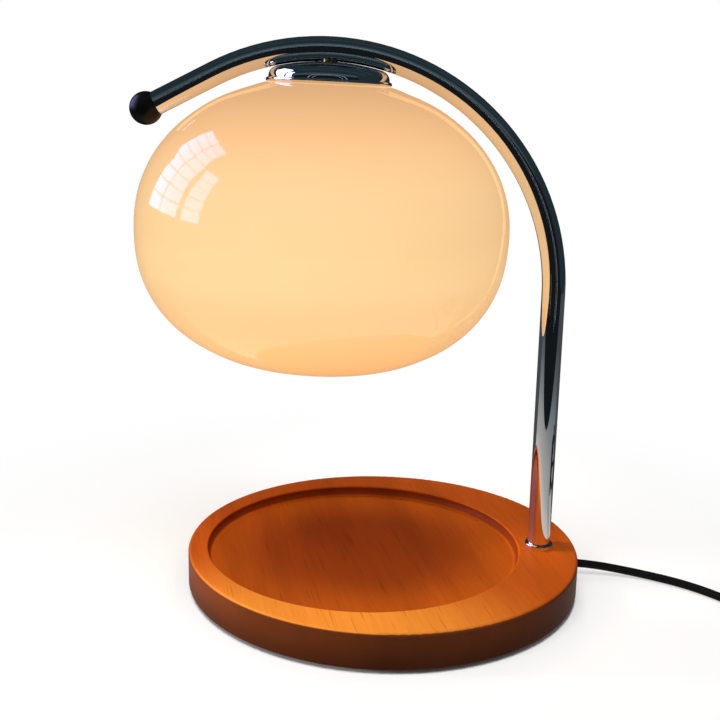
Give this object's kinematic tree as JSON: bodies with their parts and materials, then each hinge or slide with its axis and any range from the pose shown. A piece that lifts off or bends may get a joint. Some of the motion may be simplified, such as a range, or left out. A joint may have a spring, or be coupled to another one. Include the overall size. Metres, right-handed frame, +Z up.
{
  "type": "aroma lamp",
  "caption": "Table lamp that warms what stands on its round wooden tray: arched chrome tube, hanging opal glass shade, twist-lock bulb, cord with thumbwheel dimmer and plug.",
  "frame": {"origin": "on the table under the middle of the round base", "axes": "+Z up; +X from the base's middle towards the pole; the arm lies in the XZ plane"},
  "size_m": [0.452, 0.2011, 0.2722],
  "materials": {
    "wood": "satin lacquer on reddish wood",
    "felt": "felt",
    "chrome": "polished",
    "black_gloss": "gloss",
    "opal_glass": "gloss opal, lit from inside",
    "steel": "plated",
    "brass": "plain",
    "rubber": "matt",
    "ceramic": "unglazed",
    "bulb_metal": "bright",
    "bulb_glass": "frosted",
    "lead_sheath": "silicone sheath",
    "black_cord": "woven sleeve",
    "black_plastic": "fine texture",
    "green_board": "laminate",
    "tie_fabric": "hook and loop strap"
  },
  "bodies": {
    "lamp": {"wood_base": "wood", "felt_pad": "felt", "foot_collar": "chrome", "arm_tube": "chrome", "shade_cap": "chrome", "end_ball": "black_gloss", "glass_shade": "opal_glass", "bottom_cover": "steel", "bottom_cover_screws": "steel", "pole_nipple": "steel", "pole_washer": "steel", "pole_nut": "steel", "clamp_plate": "steel", "clamp_nut": "steel", "bridge_nut": "steel", "holder_bridge": "steel", "holder_screws": "steel", "dimmer_screws": "steel", "dimmer_shaft": "steel", "plug_pins": "steel", "shade_stud": "brass", "cord_relief": "rubber", "upper_gasket": "rubber", "lower_gasket": "rubber", "dimmer_reliefs": "rubber", "plug_relief": "rubber", "lamp_holder": "ceramic", "riser_lead": "lead_sheath", "holder_leads": "lead_sheath", "lamp_cord": "black_cord", "plug_cord": "black_cord", "cord_coil": "black_cord", "plug_tail": "black_cord", "dimmer_lower": "black_plastic", "dimmer_upper": "black_plastic", "plug_body": "black_plastic", "dimmer_board": "green_board", "coil_tie": "tie_fabric"},
    "bulb": {"bulb_base": "ceramic", "bulb_pins": "brass", "bulb_reflector": "bulb_metal", "bulb_lens": "bulb_glass"},
    "thumbwheel": {"dimmer_wheel": "black_gloss"}
  },
  "joints": [
    {"name": "bulb_twist", "type": "hinge", "parent": "lamp", "child": "bulb", "pos_m": [-0.03217, 0, 0.20386], "axis": [0.0349, 0, 0.9994], "range_deg": [-25, 0]},
    {"name": "dimmer_turn", "type": "hinge", "parent": "lamp", "child": "thumbwheel", "pos_m": [0.312, 0.008, 0.0091], "axis": [-1, 0, 0], "range_deg": [0, 270]}
  ]
}
